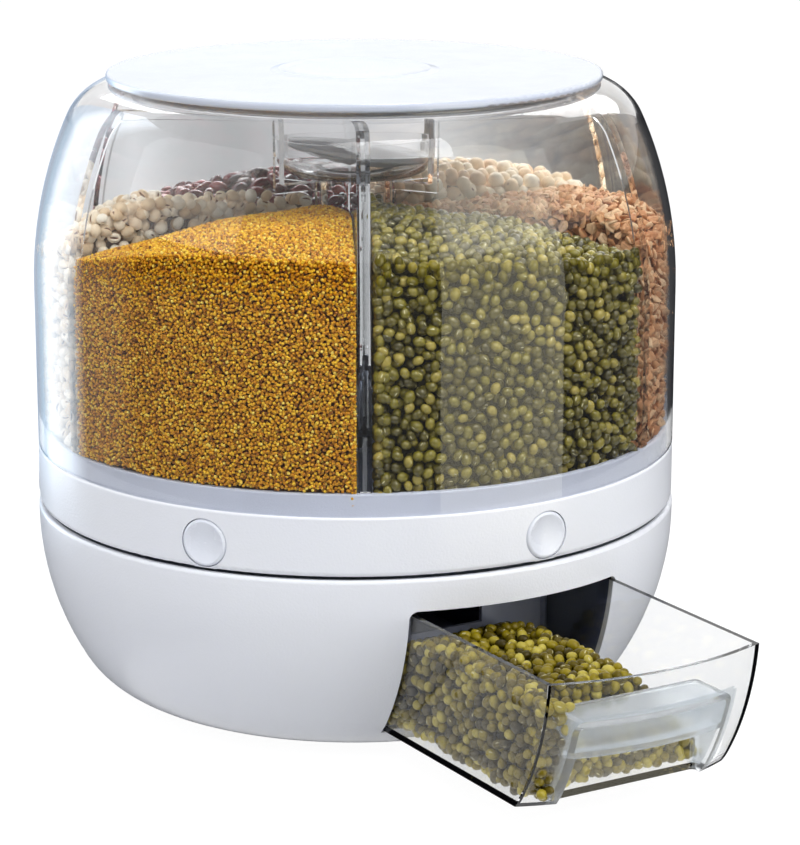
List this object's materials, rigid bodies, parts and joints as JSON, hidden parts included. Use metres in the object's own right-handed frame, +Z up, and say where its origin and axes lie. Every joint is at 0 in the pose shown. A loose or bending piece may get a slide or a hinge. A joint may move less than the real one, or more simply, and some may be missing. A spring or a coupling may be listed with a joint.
{
  "type": "rotating grain dispenser",
  "caption": "Round turning grain dispenser with wedge compartments under a clear dome, push-button gates, a lid and a pull-out drawer in its base.",
  "frame": {"origin": "middle of the resting plane under the base, on the turntable's axis", "axes": "+Z up along the turntable's axis, -Y the way the drawer pulls out, +X to the right for someone who faces the drawer"},
  "size_m": [0.311, 0.4204, 0.3025],
  "materials": {
    "white_shell": "satin",
    "white_button": "satin",
    "frosted_lid": "satin",
    "pale_tray": "satin",
    "grey_inner": "matt",
    "slide_plastic": "satin",
    "clear_shell": "clear gloss",
    "clear_drawer": "clear gloss",
    "capsule_grey": "gloss",
    "seal": "matt",
    "rubber": "matt",
    "steel": "bright"
  },
  "bodies": {
    "base": {"base_bowl": "white_shell", "base_deck": "grey_inner", "discharge_chute": "grey_inner", "bay_wall_left": "grey_inner", "bay_wall_right": "grey_inner", "bay_wall_back": "grey_inner", "drawer_runner_left": "grey_inner", "drawer_runner_right": "grey_inner", "rubber_feet": "rubber", "deck_screws": "steel", "lower_race": "steel", "pivot_bush": "slide_plastic"},
    "bearing_cage": {"ball_cage": "slide_plastic", "bearing_balls": "steel"},
    "turntable": {"turntable_ring": "white_shell", "upper_race": "steel", "pivot_bolt": "steel", "thrust_washer": "steel", "lock_nut": "steel", "compartment_tray": "pale_tray", "hub_column": "clear_shell", "divider_1": "clear_shell", "divider_2": "clear_shell", "divider_3": "clear_shell", "divider_4": "clear_shell", "divider_5": "clear_shell", "divider_6": "clear_shell", "clear_dome": "clear_shell", "capsule_cup": "clear_shell", "capsule_body": "capsule_grey", "capsule_cap": "capsule_grey", "gate_spring_1": "steel", "gate_spring_2": "steel", "gate_spring_3": "steel", "gate_spring_4": "steel", "gate_spring_5": "steel", "gate_spring_6": "steel"},
    "lid": {"lid_disc": "frosted_lid", "lid_skirt": "clear_shell", "lid_seal": "seal"},
    "drawer": {"drawer": "clear_drawer"},
    "gate_1": {"gate_1": "slide_plastic", "button_1": "white_button"},
    "gate_2": {"gate_2": "slide_plastic", "button_2": "white_button"},
    "gate_3": {"gate_3": "slide_plastic", "button_3": "white_button"},
    "gate_4": {"gate_4": "slide_plastic", "button_4": "white_button"},
    "gate_5": {"gate_5": "slide_plastic", "button_5": "white_button"},
    "gate_6": {"gate_6": "slide_plastic", "button_6": "white_button"}
  },
  "joints": [
    {"name": "turntable_turn", "type": "hinge", "parent": "base", "child": "turntable", "pos_m": [0, 0, 0.0925], "axis": [0, 0, 1], "continuous": true},
    {"name": "cage_turn", "type": "hinge", "parent": "base", "child": "bearing_cage", "pos_m": [0, 0, 0.0925], "axis": [0, 0, 1], "continuous": true},
    {"name": "drawer_slide", "type": "slide", "parent": "base", "child": "drawer", "axis": [0, -1, 0], "range_m": [-0.11, 0.006]},
    {"name": "lid_lift", "type": "slide", "parent": "turntable", "child": "lid", "axis": [0, 0, 1], "range_m": [0, 0.15]},
    {"name": "button_1_press", "type": "slide", "parent": "turntable", "child": "gate_1", "axis": [-0.0663, 0.9978, 0], "range_m": [0, 0.012], "stiffness_N_per_m": 250, "springref_m": -0.004, "deforming": ["gate_spring_1"]},
    {"name": "button_2_press", "type": "slide", "parent": "turntable", "child": "gate_2", "axis": [-0.8973, 0.4415, 0], "range_m": [0, 0.012], "stiffness_N_per_m": 250, "springref_m": -0.004, "deforming": ["gate_spring_2"]},
    {"name": "button_3_press", "type": "slide", "parent": "turntable", "child": "gate_3", "axis": [-0.831, -0.5563, 0], "range_m": [0, 0.012], "stiffness_N_per_m": 250, "springref_m": -0.004, "deforming": ["gate_spring_3"]},
    {"name": "button_4_press", "type": "slide", "parent": "turntable", "child": "gate_4", "axis": [0.0663, -0.9978, 0], "range_m": [0, 0.012], "stiffness_N_per_m": 250, "springref_m": -0.004, "deforming": ["gate_spring_4"]},
    {"name": "button_5_press", "type": "slide", "parent": "turntable", "child": "gate_5", "axis": [0.8973, -0.4415, 0], "range_m": [0, 0.012], "stiffness_N_per_m": 250, "springref_m": -0.004, "deforming": ["gate_spring_5"]},
    {"name": "button_6_press", "type": "slide", "parent": "turntable", "child": "gate_6", "axis": [0.831, 0.5563, 0], "range_m": [0, 0.012], "stiffness_N_per_m": 250, "springref_m": -0.004, "deforming": ["gate_spring_6"]}
  ],
  "couplings": [
    {"joint": "cage_turn", "follows": "turntable_turn", "ratio": 0.5}
  ]
}
